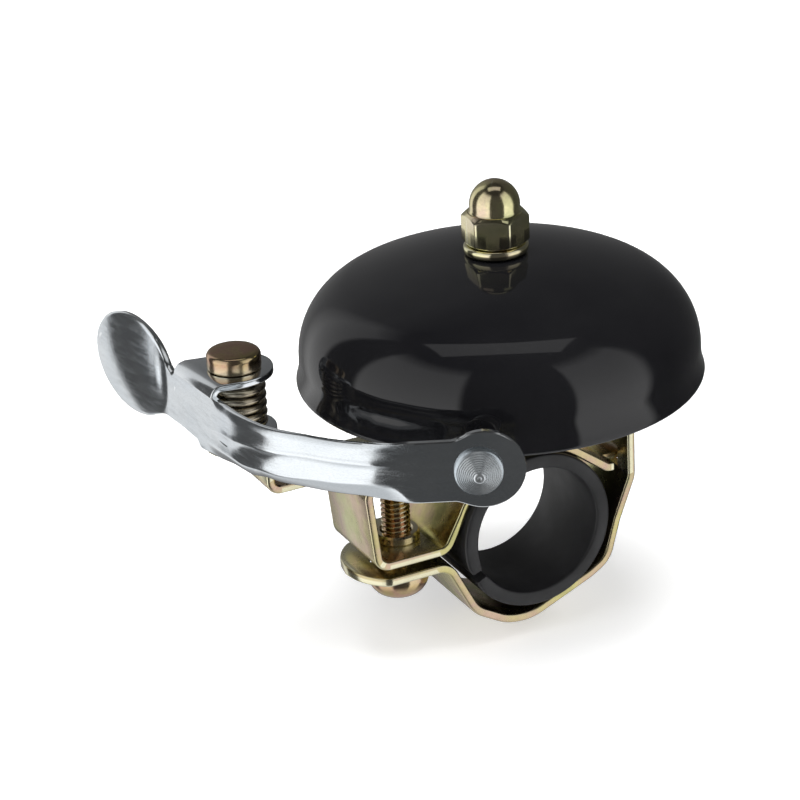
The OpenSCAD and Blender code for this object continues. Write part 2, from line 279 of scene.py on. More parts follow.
def arc(c, r, a0, a1, n):
    return [(c[0] + r * math.cos(rad(a0 + (a1 - a0) * i / n)), c[1] + r * math.sin(rad(a0 + (a1 - a0) * i / n)))
            for i in range(n + 1)]


def cut(ob, cutters):
    for v, f in cutters:
        me = bpy.data.meshes.new("cutter")
        me.from_pydata([[c * MM for c in p] for p in v], [], f)
        bm = bmesh.new()
        bm.from_mesh(me)
        bmesh.ops.recalc_face_normals(bm, faces=bm.faces)
        bm.to_mesh(me)
        bm.free()
        c = bpy.data.objects.new("cutter", me)
        bpy.context.scene.collection.objects.link(c)
        md = ob.modifiers.new("cut", "BOOLEAN")
        md.solver = "EXACT"
        md.operation = "DIFFERENCE"
        md.object = c
        bpy.context.view_layer.update()
        new = bpy.data.meshes.new_from_object(ob.evaluated_get(bpy.context.evaluated_depsgraph_get()))
        ob.modifiers.clear()
        ob.data = new
        bpy.data.objects.remove(c)
        bpy.data.meshes.remove(me)


def rod(r, x, y, z0, z1, n=48):
    v, f = revolve([(0, z0), (r, z0), (r, z1), (0, z1)], n)
    return moved(v, (x, y, 0)), f


# ---- strips of sheet bent in the XZ plane ----

def unit2(v):
    k = math.hypot(*v)
    return (v[0] / k, v[1] / k)


def rounded(pts, steps=14):
    out = []
    for i, (x, z, r) in enumerate(pts):
        if i in (0, len(pts) - 1) or r == 0:
            out.append((x, z))
            continue
        u = unit2((pts[i - 1][0] - x, pts[i - 1][1] - z))
        v = unit2((pts[i + 1][0] - x, pts[i + 1][1] - z))
        half = math.acos(max(-1, min(1, u[0] * v[0] + u[1] * v[1]))) / 2
        w = unit2((u[0] + v[0], u[1] + v[1]))
        c = (x + w[0] * r / math.sin(half), z + w[1] * r / math.sin(half))
        a = (x + u[0] * r / math.tan(half) - c[0], z + u[1] * r / math.tan(half) - c[1])
        b = (x + v[0] * r / math.tan(half) - c[0], z + v[1] * r / math.tan(half) - c[1])
        turn = math.pi - 2 * half
        if a[0] * b[1] - a[1] * b[0] < 0:
            turn = -turn
        s = math.atan2(a[1], a[0])
        out += [(c[0] + r * math.cos(s + turn * k / steps), c[1] + r * math.sin(s + turn * k / steps))
                for k in range(steps + 1)]
    return out


def section(y0, y1, t, r=0.28):
    r = min(r, t * 0.45, (y1 - y0) * 0.45)
    pts = []
    for cy, cn, a in ((y1 - r, t / 2 - r, 0), (y0 + r, t / 2 - r, 90),
                      (y0 + r, r - t / 2, 180), (y1 - r, r - t / 2, 270)):
        pts += arc((cy, cn), r, a, a + 90, 3)
    return pts


def densify(path, step):
    out = [path[0]]
    for a, b in zip(path, path[1:]):
        n = max(1, int(math.hypot(b[0] - a[0], b[1] - a[1]) / step))
        out += [(a[0] + (b[0] - a[0]) * k / n, a[1] + (b[1] - a[1]) * k / n) for k in range(1, n + 1)]
    return out


def strip(path, t, span, breaks=()):
    """Rings of a bent strip. span(x, z) gives its two edges along Y; breaks are places along X with a sharp step."""
    rings = []
    for i, p in enumerate(path):
        a, b = path[max(i - 1, 0)], path[min(i + 1, len(path) - 1)]
        d = unit2((b[0] - a[0], b[1] - a[1]))
        nx, nz = -d[1], d[0]
        near = [k for k in breaks if k == i]
        for e in ([-1e-4, 1e-4] if near else [0]):
            y0, y1 = span(i + e, p)
            rings.append([(p[0] + nx * n + d[0] * e, y, p[1] + nz * n + d[1] * e) for y, n in section(y0, y1, t)])
    return rings


DOME, DLO, DHI = mid("dome")
AX = DOME[0]
LINER_R = mid("clamp_liner")[2][2]
ARCH_R = LINER_R + 0.05 + 0.6
BR_Z = LINER_R + 0.05 + 1.2 + 0.6
SCREW_X = mid("clamp_screw")[0][0]
HALF = 6.5
T = 1.2


def saddle():
    start = rounded([(-21.5, BR_Z - 1.2, 0), (-24.7, BR_Z - 1.2, 1.3), (-23.5, 0.1, 1.8), (-13.4, 0.1, 2),
                     (ARCH_R * math.cos(rad(157)), ARCH_R * math.sin(rad(157)), 0)])
    arch = [(ARCH_R * math.cos(rad(a)), ARCH_R * math.sin(rad(a))) for a in range(154, 54, -3)]
    tail = rounded([(ARCH_R * math.cos(rad(53)), ARCH_R * math.sin(rad(53)), 0), (11.8, 6.0, 1.5), (17.3, 6.0, 0.9),
                    (17.3, 4.0, 0)])
    path = start + arch + tail
    k = min(range(len(start + arch), len(path)), key=lambda i: abs(path[i][0] - 12.6))
    path[k] = (12.6, path[k][1])
    rings = strip(path, T, lambda i, p: (-3.3, 3.3) if i > k else (-HALF, HALF), (k,))
    ob = make("saddle_strip", *loft(rings), "yellow_zinc_strip", "base", ready=False)
    cut(ob, [rod(2.5, AX, 0, 9, 15), rod(2.62, SCREW_X, 0, -3, 3)])
    finish_piece(ob, "base", ["clamp_saddle"])


def strap():
    path = densify(rounded([(15.45, 10.6, 0), (15.45, 3.8, 3), (13.0, -2.2, 7), (11.4, -7.8, 3.8), (8.7, -9.45, 9),
                            (-0.8, -13.3, 7), (-4.5, -13.0, 7), (-9.3, -10.2, 4.5), (-13.2, -2.4, 2.6),
                            (SCREW_X - 7.78, -2.4, 0)]), 0.35)
    end = 7.8

    def span(i, p):
        if p[0] > SCREW_X:
            return (-HALF, HALF)
        w = math.sqrt(max(0.02, end ** 2 - (p[0] - SCREW_X) ** 2))
        return (-min(HALF, w), min(HALF, w))
    ob = make("strap_strip", *loft(strip(path, T, span)), "yellow_zinc_strip", "strap", ready=False)
    box = loft([[(x, y, z) for y, z in ((-3.7, 4.5), (3.7, 4.5), (3.7, 7.5), (-3.7, 7.5))] for x in (13, 18)])
    slot = []
    for a in range(0, 360, 12):
        c, s = math.cos(rad(a)), math.sin(rad(a))
        slot.append((SCREW_X - 1.05 + 2.25 * c + (1.05 if c >= 0 else -1.05), 2.25 * s))
    slot = loft([[(x, y, z) for x, y in slot] for z in (-5, 0)])
    cut(ob, [box, slot])
    finish_piece(ob, "strap", ["clamp_strap"])


PIN, PLO, PHI = mid("pivot_pin")
PX, PY = PIN[0], PIN[1]
LZ = 23.55
EAR_Z, SH = 4.3, 0.95
LUG = mid("lever_bracket")[2][2] - 0.6


def bracket():
    path = densify(rounded([(AX + 4.58, BR_Z, 0), (-27.5, BR_Z, 1.4), (-29.6, 10.9, 1.4), (-34.7, 10.9, 1.4),
                            (-34.7, LUG, 1.1), (PX - 4.5, LUG, 0)], 10), 0.3)
    ry = PY - 0.1

    def span(i, p):
        x, z = p
        if x > AX - 4:
            w = math.sqrt(max(0.02, 4.6 ** 2 - max(0, x - AX) ** 2))
            w += (HALF - w) * ease(AX - x, 0, 4)
            return (-w, w)
        if x > -26.5:
            return (-HALF, HALF)
        if x > -30 and z < 20:
            f = (-26.5 - x) / 3.5
            f = f * f * (3 - 2 * f)
            return (-HALF + f * (ry - 3.5 + HALF), HALF + f * (ry + 3.5 - HALF))
        if x > PX + 2.8 or z < LUG - 0.3:
            return (ry - 3.5, ry + 3.5)
        w = math.sqrt(max(0.02, 4.5 ** 2 - (x - PX) ** 2))
        return (PY - w, PY + w)
    ob = make("pivot_bracket", *loft(strip(path, T, span)), "yellow_zinc_strip", "base", ready=False)
    cut(ob, [rod(2.5, AX, 0, 10, 16), rod(2.0, PX, PY, LUG - 2, LUG + 2)])
    finish_piece(ob, "base", ["lever_bracket"])


# ---- dome and its fastening ----

def dome():
    rim, top = DLO[2], DHI[2] + 0.15
    R = DHI[0] - AX
    wall, corner, crown, t = R - 0.5, 10.5, 58.0, 1.2

    def skin(d):
        cz = top - crown
        cr, ks = crown - d, corner - d
        drop = math.sqrt((crown - corner) ** 2 - (wall - corner) ** 2)
        lim = math.degrees(math.asin((wall - corner) / (crown - corner)))
        pts = [(max(2.6, cr * math.sin(rad(a))), cz + cr * math.cos(rad(a)))
               for a in [lim * i / 26 for i in range(27)]]
        pts = [p for i, p in enumerate(pts) if p[0] > 2.6 or i == 0]
        sz = cz + drop
        pts += [(wall - corner + ks * math.sin(rad(a)), sz + ks * math.cos(rad(a)))
                for a in [lim + (90 - lim) * i / 30 for i in range(1, 31)]]
        n = 10
        for i in range(1, n + 1):
            f = i / n
            pts.append((wall - d + 0.5 * f ** 2.4, sz - (sz - rim - 0.55) * f))
        return pts
    out, inn = skin(0), skin(t)
    lip = arc((R - t / 2, rim + 0.6), 0.6, 0, -180, 10)
    verts, faces = revolve(out + lip[1:-1] + inn[::-1], 200)
    make("dome_shell", moved(verts, (AX, 0, 0)), faces, "black_enamel", "base", ["dome"], 50)


def cap_nut():
    _, lo, hi = mid("cap_nut")
    z0, h = lo[2], hi[2] - lo[2]
    af, hex_h, cap = 4.0, 4.2, 3.38
    n = 240
    turn = 25.6
    rings = []

    def hexr(a):
        return min(af / math.cos(rad(a % 60 - 30)), 4.53)
    ang = [360 * i / n for i in range(n)]
    # under face, lower chamfer, flats, arched shoulder, then the round cap
    spec = [(lambda a: 2.5, lambda a: 0.0), (lambda a: 4.02, lambda a: 0.0),
            (lambda a: hexr(a) - 0.06, lambda a: max(0.05, (hexr(a) - 4.02) * 0.55)),
            (lambda a: hexr(a), lambda a: max(0.10, (hexr(a) - 4.02) * 0.55 + 0.10)),
            (lambda a: hexr(a), lambda a: hex_h * 0.5),
            (lambda a: hexr(a), lambda a: hex_h - (hexr(a) - 3.72) * 0.72 - 0.10),
            (lambda a: hexr(a) - 0.09, lambda a: hex_h - (hexr(a) - 3.72) * 0.72),
            (lambda a: 3.72, lambda a: hex_h), (lambda a: 3.52, lambda a: hex_h + 0.03),
            (lambda a: cap + 0.04, lambda a: hex_h + 0.14), (lambda a: cap, lambda a: hex_h + 0.35)]
    for r, z in spec:
        rings.append([(r(a) * math.cos(rad(a + turn)), r(a) * math.sin(rad(a + turn)), z(a)) for a in ang])
    for i in range(13):
        a = 7 * i
        z = h - cap + cap * math.sin(rad(a))
        rings.append([(cap * math.cos(rad(a)) * math.cos(rad(b + turn)),
                       cap * math.cos(rad(a)) * math.sin(rad(b + turn)), z)
                      for b in ang])
    verts, faces = loft(rings)
    make("acorn_nut", moved(verts, (AX, 0, z0)), faces, "yellow_zinc_nut", "base", ["cap_nut"], 32)


def top_washer():
    _, lo, hi = mid("top_washer")
    z0, h = lo[2], hi[2] - lo[2]
    wide, tall, lift = 1.75, 1.35, h - 1.37
    rings = []
    for i in range(121):
        a = rad(70 + 356 * i / 120)
        z = z0 + tall / 2 + 0.01 + lift * i / 120
        c = 2.62 + wide / 2
        ring = []
        for k in range(20):
            b = 2 * math.pi * k / 20
            cx, sx = math.cos(b), math.sin(b)
            e = (abs(cx) ** 3 + abs(sx) ** 3) ** (-1 / 3)
            r = c + wide / 2 * e * cx
            ring.append((AX + r * math.cos(a), r * math.sin(a), z + tall / 2 * e * sx))
        rings.append(ring)
    make("split_washer", *loft(rings), "yellow_zinc_nut", "base", ["top_washer"], 50)


# ---- screws, pin, nut ----

def thread(r, pitch, z0, z1, depth, n=56):
    rows = int((z1 - z0) / 0.075)
    rings = []
    for i in range(rows + 1):
        z = z0 + (z1 - z0) * i / rows
        fade = min(1, (z1 - z) / 0.7, 1)
        ring = []
        for k in range(n):
            ph = (z / pitch - k / n) % 1
            v = abs(ph * 2 - 1)
            v = max(0, min(1, (v - 0.1) / 0.75))
            ring.append(((r - depth * (1 - v) - (1 - fade) * 0.5) * math.cos(2 * math.pi * k / n),
                         (r - depth * (1 - v) - (1 - fade) * 0.5) * math.sin(2 * math.pi * k / n), z))
        rings.append(ring)
    return loft(rings)


def clamp_screw():
    _, lo, hi = mid("clamp_screw")
    zb, top = lo[2], hi[2]
    seat = zb + 4.7
    prof = [(0, seat + 0.01), (2.0, seat + 0.01), (2.2, seat), (3.3, seat), (3.6, seat - 0.2), (4.05, seat - 0.9)]
    prof += [(4.2 * math.cos(rad(a)) ** 0.7, seat - 1.7 - 3.0 * math.sin(rad(a))) for a in range(0, 86, 6)]
    prof += [(0, zb)]
    v, f = revolve(prof, 96)
    head = make("screw_head", moved(v, (SCREW_X, 0, 0)), f, "yellow_zinc_screw", "screw", ready=False)
    cross = []
    for sx, sy in ((2.1, 0.42), (0.42, 2.1)):
        cross.append(loft([[(SCREW_X - sx * k, -sy * k, z), (SCREW_X + sx * k, -sy * k, z),
                            (SCREW_X + sx * k, sy * k, z), (SCREW_X - sx * k, sy * k, z)]
                           for z, k in ((zb - 1, 1.0), (zb + 0.3, 1.0), (zb + 1.9, 0.55))]))
    cut(head, cross)
    finish_piece(head, "screw", [])
    v, f = thread(2.0, 0.7, seat - 0.05, top, 0.40)
    make("screw_thread", moved(v, (SCREW_X, 0, 0)), f, "yellow_zinc_screw", "screw", ["clamp_screw"], 60)


def clamp_nut():
    _, lo, hi = mid("clamp_nut")
    z0, z1 = lo[2], hi[2]
    fl = z0 + 1.2
    prof = [(2.06, z0 + 0.15), (2.2, z0), (2.6, z0), (2.6, fl), (3.05, fl), (3.2, fl + 0.15), (3.2, z1 - 0.3),
            (2.95, z1 - 0.02), (2.3, z1), (2.06, z1 - 0.2)]
    v, f = revolve(prof, 72)
    make("threaded_collar", moved(v, (SCREW_X, 0, 0)), f, "yellow_zinc_screw", "base", ["clamp_nut"], 40)


def pivot_pin():
    z0, z1 = PLO[2], PHI[2]
    seat = z1 - 2.4
    head = 3.6
    prof = [(0, z0), (1.55, z0), (2.0, z0 + 0.42), (2.0, seat - 0.02), (3.2, seat), (3.5, seat + 0.05),
            (head, seat + 0.22)]
    prof += [(head, seat + 1.45)] + arc((head - 0.75, seat + 1.6), 0.75, 0, 80, 6) + [(1.6, z1 - 0.03), (0, z1)]
    v, f = revolve(prof, 96)
    make("pin_headed", moved(v, (PX, PY, 0)), f, "yellow_zinc_screw", "base", ["pivot_pin"], 30)


def spring():
    lo = LZ - EAR_Z + SH / 2 + 0.62
    pitch, turns, r = 1.24, 5.1, 3.5
    pts = []
    # lower leg: hangs behind the lower ear, against the bracket's lug
    pts += [(PX + 1.0, PY + 5.12, z) for z in (17.2, 17.9)]
    pts += [(PX + 1.4, PY + 5.6, z) for z in (18.7, 19.4)]
    pts += [(PX + 1.6, PY + 5.3, lo - 0.35), (PX + 1.9, PY + 4.3, lo - 0.1)]
    for i in range(int(turns * 36) + 1):
        a = rad(60 - 10 * i)
        pts.append((PX + r * math.cos(a), PY + r * math.sin(a), lo + pitch * i / 36))
    top = lo + pitch * turns
    pts += [(PX + 3.9, PY + 1.6, top), (PX + 3.6, PY + 0.2, top + 0.02)]
    P = [Vector(p) for p in pts]
    rings = []
    up = Vector((0, 1, 0))
    for i, p in enumerate(P):
        d = (P[min(i + 1, len(P) - 1)] - P[max(i - 1, 0)]).normalized()
        side = d.cross(up)
        side.normalize()
        up = side.cross(d)
        up.normalize()
        rings.append([tuple(p + (side * math.cos(2 * math.pi * k / 14) + up * math.sin(2 * math.pi * k / 14)) * 0.49)
                      for k in range(14)])
    v, f = loft(rings)
    ob = make("coil_spring", v, f, "spring_steel", "base", ready=False)
    ob.data.shade_smooth()
    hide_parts("torsion_spring")
    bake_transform(ob)


# ---- lever ----

STRIKE = 25.8
EYE = (-19.9, -30.4)
STUD_SHIFT = 0.7                 # the hammer's stud sits this far along the arm from the eye's middle
ST = (math.sin(rad(STRIKE)), math.cos(rad(STRIKE)))
U_BEND, R_BEND, A_BEND = 7.3, 28.4, 60.8
U_NECK = U_BEND + R_BEND * rad(A_BEND)
U_TURN, TURN = U_NECK + 19, 9
U_PAD, PAD_L, PAD_R, PAD_Z = U_TURN + 6.9, 8.55, 7.25, 1.0


def lever_path():
    """Points of the lever's outer face in plan: {u: (x, y, heading)} every 0.25 mm from the eye."""
    step = 0.05
    x, y, h = EYE[0], EYE[1], 180 - STRIKE
    out, u = [(0.0, x, y, h)], 0.0
    while u < U_PAD + PAD_L + 0.1:
        k = 0
        if U_BEND <= u < U_NECK:
            k = -A_BEND / (U_NECK - U_BEND)
        elif abs(u - U_TURN) < 1.5:
            k = TURN / 3.0
        h2 = h + k * step
        x += step * math.cos(rad((h + h2) / 2))
        y += step * math.sin(rad((h + h2) / 2))
        h = h2
        u += step
        out.append((u, x, y, h))
    return out


PATH = lever_path()


def at(u):
    if u <= 0:
        h = 180 - STRIKE
        return EYE[0] + u * math.cos(rad(h)), EYE[1] + u * math.sin(rad(h)), h
    _, x, y, h = PATH[min(len(PATH) - 1, int(round(u / 0.05)))]
    return x, y, h


def ease(x, a, b):
    f = max(0.0, min(1.0, (x - a) / (b - a)))
    return f * f * (3 - 2 * f)


def smax(a, b, k):
    h = max(k - abs(a - b), 0) / k
    return max(a, b) + h * h * k / 4


def table(x, pts):
    if x <= pts[0][0]:
        return pts[0][1]
    for (a, va), (b, vb) in zip(pts, pts[1:]):
        if x <= b:
            f = (x - a) / (b - a)
            f = f * f * (3 - 2 * f)
            return va + (vb - va) * f
    return pts[-1][1]


N0 = U_NECK
TOP = [(0, 4.1), (U_BEND + 15, 4.0), (U_BEND + 24, 3.55), (N0 + 0.5, 3.5), (N0 + 3.6, 3.3), (N0 + 4.6, 3.4),
       (N0 + 15.0, 3.3), (N0 + 15.9, 2.6), (N0 + 17.8, 3.3), (N0 + 20.5, 4.2), (200, 4.2)]
BOT = [(0, 4.15), (U_BEND + 16, 4.15), (U_BEND + 23, 4.6), (N0 - 2, 5.4), (N0 + 4, 5.75), (N0 + 8.6, 5.5),
       (N0 + 9.7, 4.45), (N0 + 14, 4.25), (N0 + 17.5, 4.3), (200, 4.1)]


def edges(u):
    eye = math.sqrt(max(0.0, 5.2 ** 2 - u * u)) if abs(u) < 5.2 else 0
    if u < 1:
        return max(0.12, eye) + 0.1, -max(0.12, eye) + 0.1
    top = table(u, TOP)
    bot = table(u, BOT)
    if u < 9:
        top, bot = smax(eye + 0.1, top, 0.7), smax(eye - 0.1, bot, 0.7)
    if u > U_PAD - PAD_L - 0.5:
        c = PAD_R * math.sqrt(max(0.0, 1 - ((u - U_PAD) / PAD_L) ** 2))
        neck = 1 - ease(u, U_PAD - 5, U_PAD - 2)
        top = smax(PAD_Z + c, top * neck, 1.2)
        bot = smax(c - PAD_Z, bot * neck, 1.2)
        if u > U_PAD:
            top, bot = PAD_Z + max(c, 0.1), max(c, 0.1) - PAD_Z
    return top, -bot


def relief(u, z, zt, zb):
    """How far the outer face stands out at a height: the stamped channel of the arm and the crowned paddle."""
    e = ease(u, U_BEND + 1.0, U_BEND + 9.0) * (1 - ease(u, N0 + 1.0, N0 + 10.0))
    d = 0.0
    # top edge turned back
    k = 1.3
    if z > zt - k:
        d -= 0.55 * e * (1 - ease(u, N0 + 1, N0 + 4)) * ((z - zt + k) / k) ** 2
    # lower flange rolled under; its fold climbs along the arm
    zf = table(u, [(U_BEND + 1, -3.7), (U_BEND + 5, -1.3), (U_BEND + 13, -1.6), (U_BEND + 22, -2.5), (N0 - 2, -3.1),
                   (N0 + 6, -3.4), (N0 + 11, -3.2)])
    if z < zf:
        f = (zf - z) / max(0.3, zf - zb)
        d -= 1.9 * e * f ** 1.5
    # crease: a low raised line that ends in a point beside the eye
    zc = table(u, [(U_BEND + 3.7, 1.3), (U_BEND + 15, 1.35), (U_BEND + 24, 0.4), (N0 + 1, -0.5), (N0 + 6, -1.2),
                   (N0 + 9.5, -0.7)])
    g = ease(u, U_BEND + 3.2, U_BEND + 7) * (1 - ease(u, N0 + 2, N0 + 9.5))
    s = (z - zc) / 0.22
    d += 0.16 * g / (1 + s * s) + (0.14 * g * (1 - ease(z, zc - 0.3, zc + 0.1)))
    # hollow under the crease
    if z < zc and z > zf - 0.5:
        d -= 0.18 * e * math.sin(math.pi * max(0, min(1, (zc - z) / max(0.4, zc - zf))))
    # paddle crowned outwards
    rho = math.hypot((u - U_PAD) / PAD_L, (z - PAD_Z) / PAD_R)
    if rho < 1.15:
        d += 0.95 * (1 - min(1, rho) ** 2) * ease(u, U_PAD - PAD_L - 0.8, U_PAD - PAD_L + 2.5)
    return d


def lever():
    us, u = [], -5.19
    while u < U_PAD + PAD_L:
        us.append(u)
        fine = u < -4 or u > U_PAD + PAD_L - 1.6 or abs(u - N0 - 15.9) < 1.2 or abs(u - N0 - 9.2) < 1
        u += 0.12 if fine else 0.4
    us.append(U_PAD + PAD_L - 0.02)
    n = 40
    rings = []
    for u in us:
        x, y, h = at(u)
        nx, ny = math.cos(rad(h + 90)), math.sin(rad(h + 90))     # outward: left of the heading
        zt, zb = edges(u)
        outer = []
        for i in range(n + 1):
            z = zt + (zb - zt) * i / n
            outer.append((relief(u, z, zt, zb), z))
        ring_o, ring_i = [], []
        for i, (d, z) in enumerate(outer):
            a, b = outer[max(0, i - 1)], outer[min(n, i + 1)]
            t = unit2((b[0] - a[0], b[1] - a[1]))
            m = (-t[1], t[0])                                     # normal towards the outer side
            edge = 0.16 if i in (0, n) else 0
            ring_o.append((d - m[0] * edge, z - m[1] * edge + 0))
            ring_i.append((d - m[0] * (SH - edge), z - m[1] * (SH - edge)))
            if i in (0, n):
                k = 0.16 * (1 if i == 0 else -1)
                inner = (d - m[0] * 0.0 + 0, z - k)
                ring_o[-1:] = [(ring_o[-1]), inner] if i == 0 else [inner, ring_o[-1]]
                j = (d - m[0] * SH, z - m[1] * SH - k)
                ring_i[-1:] = [ring_i[-1], j] if i == 0 else [j, ring_i[-1]]
        ring = ring_o + ring_i[::-1]
        rings.append([(x + nx * d, y + ny * d, LZ + z) for d, z in ring])
    v, f = loft(rings)
    ob = make("lever_sheet", v, f, "bright_zinc", "lever", ["striker_lever"], 42)
    return ob


def outward(u):
    """Outward normal and heading of the lever's path."""
    h = at(u)[2]
    return math.cos(rad(h + 90)), math.sin(rad(h + 90)), math.cos(rad(h)), math.sin(rad(h))


def ear(name, side, s_lo, s_hi):
    """side +1 upper, -1 lower. The tab leaves the neck between s_lo and s_hi and ends round about the pin."""
    nx, ny, tx, ty = outward(N0 + 9)
    sp = (PX - at(N0)[0]) * tx + (PY - at(N0)[1]) * ty          # the pin along the neck
    wp = -((PX - at(N0)[0]) * nx + (PY - at(N0)[1]) * ny)       # and inwards from its outer face
    r, top, end = 1.75, EAR_Z + SH / 2, 5.1
    path = [(0.02, 2.0), (0.02, top - r)] + [(0.02 + r - r * math.cos(rad(a)), top - r + r * math.sin(rad(a)))
                                             for a in range(9, 91, 9)]
    w = path[-1][0]
    while w < wp + end - 0.04:
        w = min(w + (0.35 if w < wp + end - 1.2 else 0.1), wp + end - 0.03)
        path.append((w, top))
    rings = []
    for i, (w, z) in enumerate(path):
        a, b = path[max(0, i - 1)], path[min(len(path) - 1, i + 1)]
        d = unit2((b[0] - a[0], b[1] - a[1]))
        m = (-d[1], d[0])                                        # outward of the sheet
        if w < wp - 0.5:
            f = ease(w, 0.2, wp - 0.5)
            g = max(0.0, min(1.0, (w - 0.02) / (wp - 0.5))) ** 0.75
            lo, hi = s_lo + (sp - end - s_lo) * f, s_hi + (sp + end - s_hi) * g
        else:
            q = math.sqrt(max(0.01, end ** 2 - max(0, w - wp) ** 2))
            lo, hi = sp - q, sp + q
        ring = []
        for s, k in section(lo, hi, SH, 0.2):
            ww, zz = w - m[0] * (SH / 2 - k), z - m[1] * (SH / 2 - k)
            px = at(N0)[0] + tx * s - nx * ww
            py = at(N0)[1] + ty * s - ny * ww
            ring.append((px, py, LZ + side * zz))
        rings.append(ring)
    ob = make(name, *loft(rings), "bright_zinc", "lever", ready=False)
    cut(ob, [rod(2.06, PX, PY, LZ + side * top - 2, LZ + side * top + 2)])
    finish_piece(ob, "lever", [])


def hammer():
    """Turned stud along the stroke: cone head with rings in front of the eye, striking body behind it."""
    h = rad(180 - STRIKE)
    o = (EYE[0] + STUD_SHIFT * math.cos(h), EYE[1] + STUD_SHIFT * math.sin(h), LZ)
    z = (ST[0], ST[1], 0)
    prof = [(0, -2.30), (0.24, -2.36), (0.42, -2.42), (0.55, -2.36)]
    n = 18
    for i in range(n + 1):
        r = 0.62 + (2.80 - 0.62) * i / n
        prof.append((r, -2.36 + (r - 0.55) * 0.60 + (0.055 if i % 2 else -0.045)))
    prof += [(2.90, -0.84), (3.03, -0.62), (3.05, -0.45), (3.05, -0.02), (1.5, -0.02), (1.5, SH + 0.7)]
    v, f = revolve(prof + [(0, SH + 0.7)], 96)
    make("stud_head", moved(v, o, z), f, "bright_zinc_turned", "lever", [], 60)
    t = SH
    v, f = revolve([(1.5, t), (2.8, t), (3.0, t + 0.12), (3.0, t + 0.58), (2.85, t + 0.7), (1.5, t + 0.7)], 64)
    make("stud_collar", moved(v, o, z), f, "bright_zinc_turned", "lever", ["hammer_collar"], 40)
    b0, b1 = t + 0.7, t + 6.0
    v, f = revolve([(0, b0), (2.3, b0), (2.5, b0 + 0.2), (2.5, b0 + 1.6), (2.42, b0 + 1.7), (2.5, b0 + 1.8),
                    (2.5, b1 - 0.5),
                    (2.4, b1 - 0.22), (2.0, b1), (0, b1)], 72)
    make("striker_body", moved(v, o, z), f, "plain_steel", "lever", ["hammer"], 40)


def liner():
    split, half_gap = 206, 3.9
    lo, hi = split + half_gap, split + 360 - half_gap
    rings = []
    out_r, in_r, w = LINER_R, 9.15, 7.5
    for i in range(145):
        a = rad(lo + (hi - lo) * i / 144)
        soft = 0.25 * (math.exp(-i / 1.2) + math.exp(-(144 - i) / 1.2))
        ring = []
        for y, n in section(-w, w, out_r - in_r, 0.35):
            r = (out_r + in_r) / 2 + n * (1 - soft)
            ring.append((r * math.cos(a), y * (1 - soft * 0.03), r * math.sin(a)))
        rings.append(ring)
    make("rubber_liner", *loft(rings), "rubber", "base", ["clamp_liner"], 35)


saddle()
strap()
bracket()
dome()
cap_nut()
top_washer()
clamp_screw()
clamp_nut()
pivot_pin()
spring()
lever()
ear("upper_ear", 1, 4.5, 15.4)
ear("lower_ear", -1, 0.5, 9.3)
hammer()
liner()
for node in ("under_washer", "dome_post", "dome_stud", "stud_nut", "pivot_washer", "pivot_bush"):
    ob = frame["nodes"][node]
    slot = next(p["material_slot"] for p in frame["record"]["subparts"] if p["node"] == node)
    if not ob.data.materials:
        ob.data.materials.append(MAT[slot])
    for s in ob.material_slots:
        s.material = MAT[slot]


# ---- camera, floor and light ----

CAM_AZ = -25.8


def camera():
    az, el, roll = rad(CAM_AZ), rad(24.2), rad(-2.8)
    right = Vector((math.cos(az), math.sin(az), 0))
    up = Vector((-math.sin(az) * math.sin(el), math.cos(az) * math.sin(el), math.cos(el)))
    fwd = Vector((-math.sin(az) * math.cos(el), math.cos(az) * math.cos(el), -math.sin(el)))
    r2 = right * math.cos(roll) + up * math.sin(roll)
    u2 = up * math.cos(roll) - right * math.sin(roll)
    target = (r2 * -15.42 + u2 * 15.17) * MM
    cam = bpy.data.cameras.new("camera")
    ob = bpy.data.objects.new("camera", cam)
    bpy.context.scene.collection.objects.link(ob)
    m = Matrix((r2, u2, -fwd)).transposed().to_4x4()
    m.translation = target - fwd * 0.4
    ob.matrix_world = m
    cam.sensor_width = 36
    cam.lens = 36 * 7.244 * 400 / 800
    cam.clip_start = 0.01
    bpy.context.scene.camera = ob


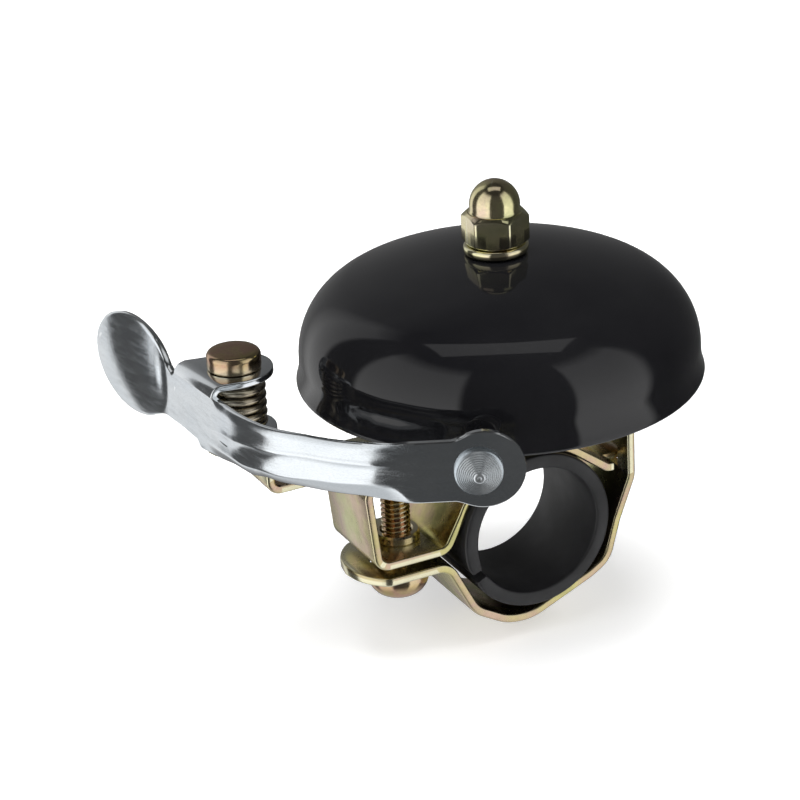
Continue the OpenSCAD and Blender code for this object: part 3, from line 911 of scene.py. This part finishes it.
def studio():
    """World light as seen from the bell: white cards to the left and right of the camera, a dark gap between
    them, a pale table below and a dim room above."""
    w = bpy.data.worlds.new("studio")
    w.use_nodes = True
    nt = w.node_tree
    tc = nt.nodes.new("ShaderNodeTexCoord")

    def dot(v):
        n = nt.nodes.new("ShaderNodeVectorMath")
        n.operation = "DOT_PRODUCT"
        n.inputs[1].default_value = v
        nt.links.new(tc.outputs["Generated"], n.inputs[0])
        return n.outputs["Value"]

    def math_node(op, a, b):
        n = nt.nodes.new("ShaderNodeMath")
        n.operation = op
        for i, v in enumerate((a, b)):
            if hasattr(v, "links"):
                nt.links.new(v, n.inputs[i])
            else:
                n.inputs[i].default_value = v
        return n.outputs[0]
    az = rad(CAM_AZ)
    right = (math.cos(az), math.sin(az), 0)
    back = (math.sin(az), -math.cos(az), 0)
    turn = math_node("DIVIDE", math_node("ARCTAN2", dot(right), dot(back)), 2 * math.pi)
    turn = math_node("ADD", turn, 0.5)
    el = math_node("ADD", math_node("MULTIPLY", dot((0, 0, 1)), 0.5), 0.5)

    def stops(pairs):
        return [(a / 360 + 0.5, v) for a, v in pairs]
    side = ramp(nt, turn, stops([(-180, 0.15), (-150, 0.30), (-138, 0.85), (-121, 0.85), (-117, 0.08),
                                 (-92, 0.08), (-88, 1.25), (-27, 1.25), (-23, 0.07), (38, 0.07),
                                 (41, 1.15), (84, 1.0), (91, 0.05), (150, 0.08), (180, 0.15)]))

    def el_of(a):
        return 0.5 + 0.5 * math.sin(rad(a))
    low = ramp(nt, el, [(el_of(-62), 1.0), (el_of(-38), 0.0)])
    high = ramp(nt, el, [(el_of(46), 0.0), (el_of(58), 1.0)])
    dim = ramp(nt, el, [(el_of(-6), 0.0), (el_of(48), 1.0)])
    wide = ramp(nt, math_node("ADD", math_node("MULTIPLY", dot(right), 0.5), 0.5),
                [(0.31, 0.0), (0.315, 1.0), (0.69, 1.0), (0.695, 0.0)])
    deep = ramp(nt, math_node("ADD", math_node("MULTIPLY", dot(back), 0.5), 0.5),
                [(0.40, 0.0), (0.405, 1.0), (0.565, 1.0), (0.57, 0.0)])
    over = ramp(nt, el, [(el_of(55), 0.0), (el_of(57), 1.0)])
    bar = math_node("MULTIPLY", math_node("MULTIPLY", wide, deep), over)
    sky = ramp(nt, el, [(el_of(45), 0.06), (el_of(60), 0.03), (1.0, 0.04)])
    col = mix(nt, dim, side, mix(nt, 0.45, side, (0.05, 0.05, 0.05)))
    col = mix(nt, low, col, (0.62, 0.63, 0.64))
    col = mix(nt, high, col, sky)
    col = mix(nt, bar, col, (0.55, 0.55, 0.55))
    bg = nt.nodes["Background"]
    nt.links.new(col, bg.inputs["Color"])
    bg.inputs["Strength"].default_value = 1.0
    bpy.context.scene.world = w


def area(name, az, el, dist, size, energy, size_y=None):
    l = bpy.data.lights.new(name, "AREA")
    l.size = size
    if size_y:
        l.shape = "RECTANGLE"
        l.size_y = size_y
    l.energy = energy
    o = bpy.data.objects.new(name, l)
    d = Vector((math.cos(rad(az)) * math.cos(rad(el)), math.sin(rad(az)) * math.cos(rad(el)), math.sin(rad(el))))
    o.location = Vector((-0.01, 0, 0.02)) + d * dist
    o.rotation_euler = (-d).to_track_quat("-Z", "Y").to_euler()
    o.visible_glossy = False
    bpy.context.scene.collection.objects.link(o)


def stage_piece(name, verts, faces, colour, emit):
    me = bpy.data.meshes.new(name)
    me.from_pydata(verts, [], faces)
    m, _, b = nodes_of(name)
    b.inputs["Base Color"].default_value = (*colour, 1)
    b.inputs["Roughness"].default_value = 0.9
    b.inputs["Emission Color"].default_value = (1, 1, 1, 1)
    b.inputs["Emission Strength"].default_value = emit
    me.materials.append(m)
    o = bpy.data.objects.new(name, me)
    bpy.context.scene.collection.objects.link(o)
    o.visible_glossy = False
    return o


def surroundings():
    drop = 0.0032                         # clear of the strap when it hangs open
    z = CAD_BOX[0][2] - drop
    k = 6
    stage_piece("floor", [(-k, -k, z), (k, -k, z), (k, k, z), (-k, k, z)], [[0, 1, 2, 3]], (0.9, 0.9, 0.9), 0.45)
    v, f = revolve([(k * math.cos(rad(a)), k * math.sin(rad(a))) for a in range(-3, 88, 6)] + [(0, k)], 48, False)
    d = stage_piece("backdrop", v, f, (0.9, 0.9, 0.9), 0.9)
    d.visible_diffuse = False
    d.visible_shadow = False
    d.visible_transmission = False


camera()
studio()
area("overhead", 250, 78, 0.7, 0.42, 5.0)
area("left", 200, 40, 0.8, 0.3, 1.6)
area("right", 320, 45, 0.9, 0.3, 1.6)
surroundings()
bpy.context.scene.view_settings.view_transform = "Standard"
